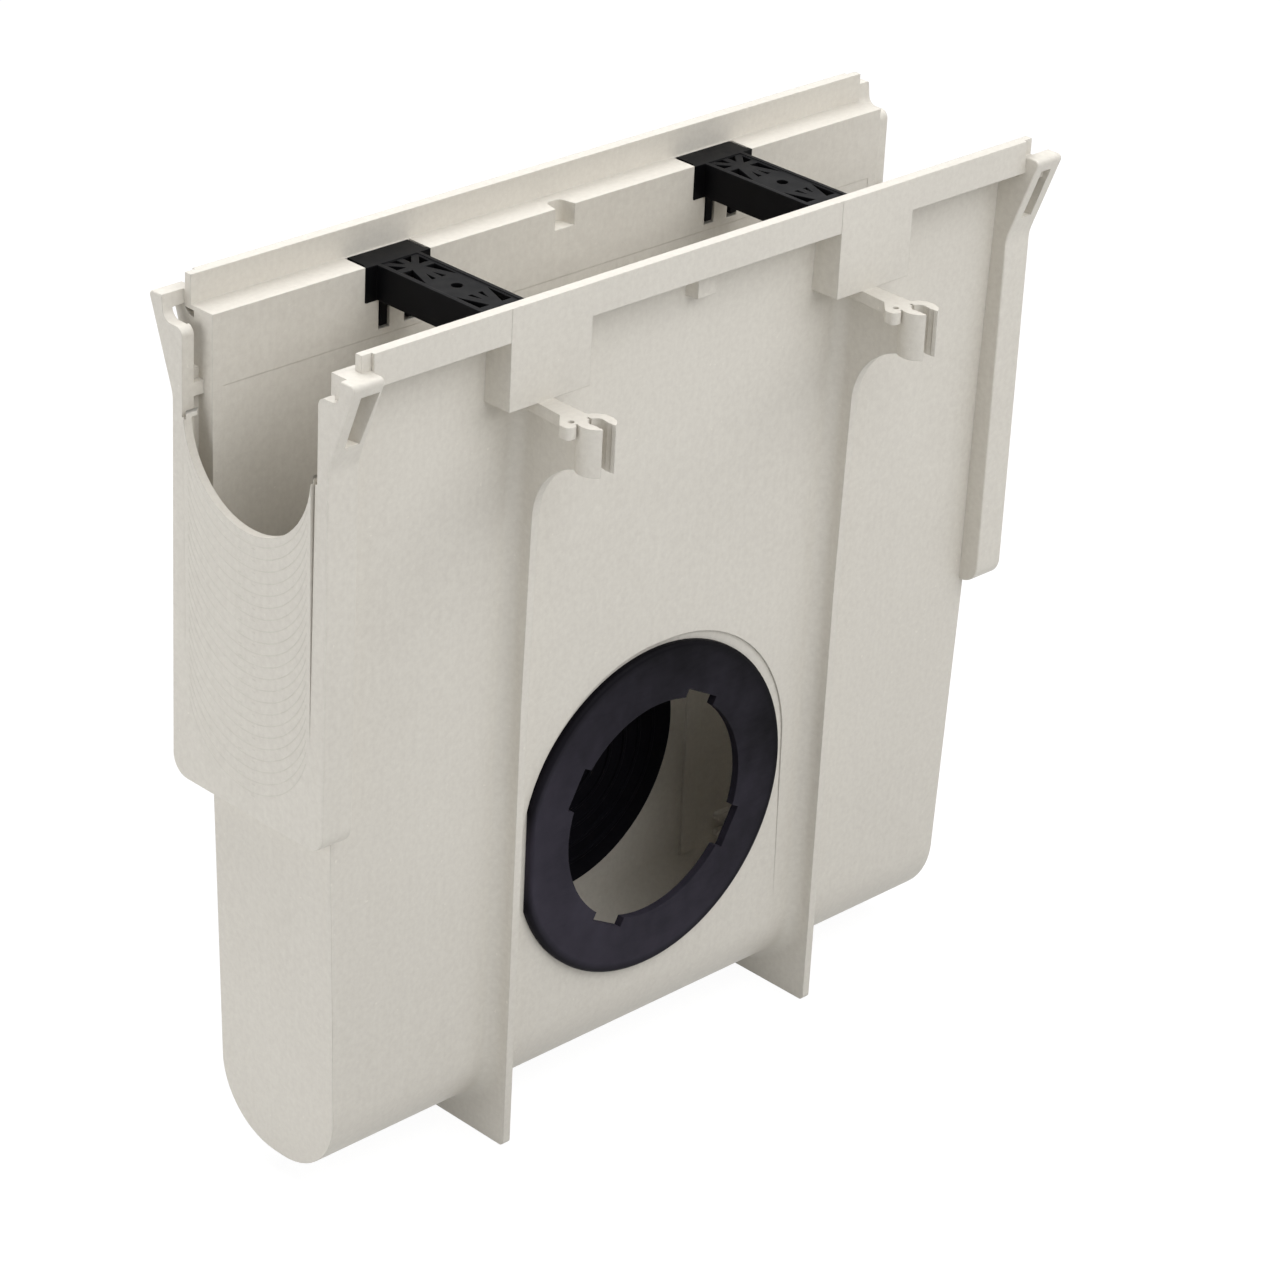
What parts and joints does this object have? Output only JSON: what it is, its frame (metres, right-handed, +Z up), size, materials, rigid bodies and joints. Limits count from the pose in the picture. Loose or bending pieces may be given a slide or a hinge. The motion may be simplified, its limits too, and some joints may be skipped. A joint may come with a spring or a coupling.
{
  "type": "catch basin",
  "caption": "Tall narrow plastic catch basin for a drainage channel, with U-notched ends, a grating ledge, crossbars, rod clips, feet and a round outlet ring.",
  "frame": {"origin": "middle of the footprint, on the plane under the feet", "axes": "+Z up, X along the channel, -Y towards the side with the open outlet"},
  "size_m": [0.532, 0.232, 0.5218],
  "materials": {
    "grey_polypropylene": "moulded matt",
    "black_polyamide": "moulded satin",
    "blue_black_polypropylene": "moulded satin"
  },
  "bodies": {
    "root": {"basin_body": "grey_polypropylene", "left_crossbar": "black_polyamide", "right_crossbar": "black_polyamide", "front_outlet_ring": "blue_black_polypropylene", "rear_outlet_cap": "blue_black_polypropylene"}
  },
  "joints": []
}
